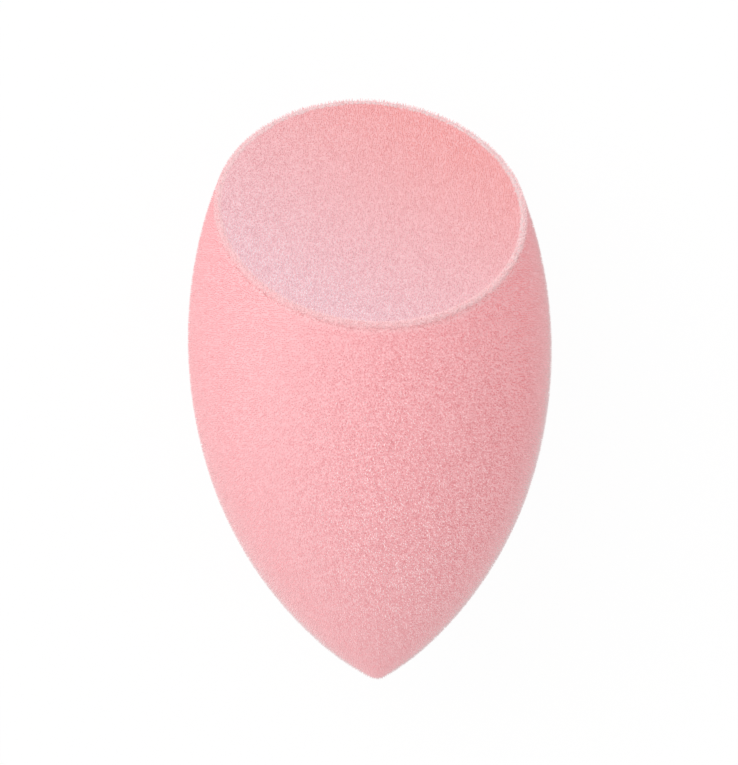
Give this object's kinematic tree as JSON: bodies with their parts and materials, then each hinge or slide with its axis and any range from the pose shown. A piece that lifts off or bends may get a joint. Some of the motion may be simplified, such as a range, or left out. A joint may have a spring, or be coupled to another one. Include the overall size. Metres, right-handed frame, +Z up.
{
  "type": "makeup sponge",
  "caption": "Velvet-flocked foam makeup sponge, a pointed teardrop with a slanted flat for wider areas of the face.",
  "frame": {"origin": "on the surface that the sponge lies on, under the middle of its bounding box", "axes": "+Y along the sponge from its point to the slanted flat, +Z up, +X across; the flat faces +Y and +Z"},
  "size_m": [0.04, 0.0642, 0.0396],
  "materials": {
    "foam": "soft open-cell polyurethane foam, dyed pink",
    "adhesive": "thin flexible acrylic film, satin",
    "side_flock": "short dense microfibre flock, velvet nap with fine mottling",
    "face_flock": "short dense microfibre flock, velvet nap, cooler and paler than the side"
  },
  "bodies": {
    "root": {"foam_core": "foam", "adhesive_coat": "adhesive", "side_pile": "side_flock", "face_pile": "face_flock"}
  },
  "joints": []
}
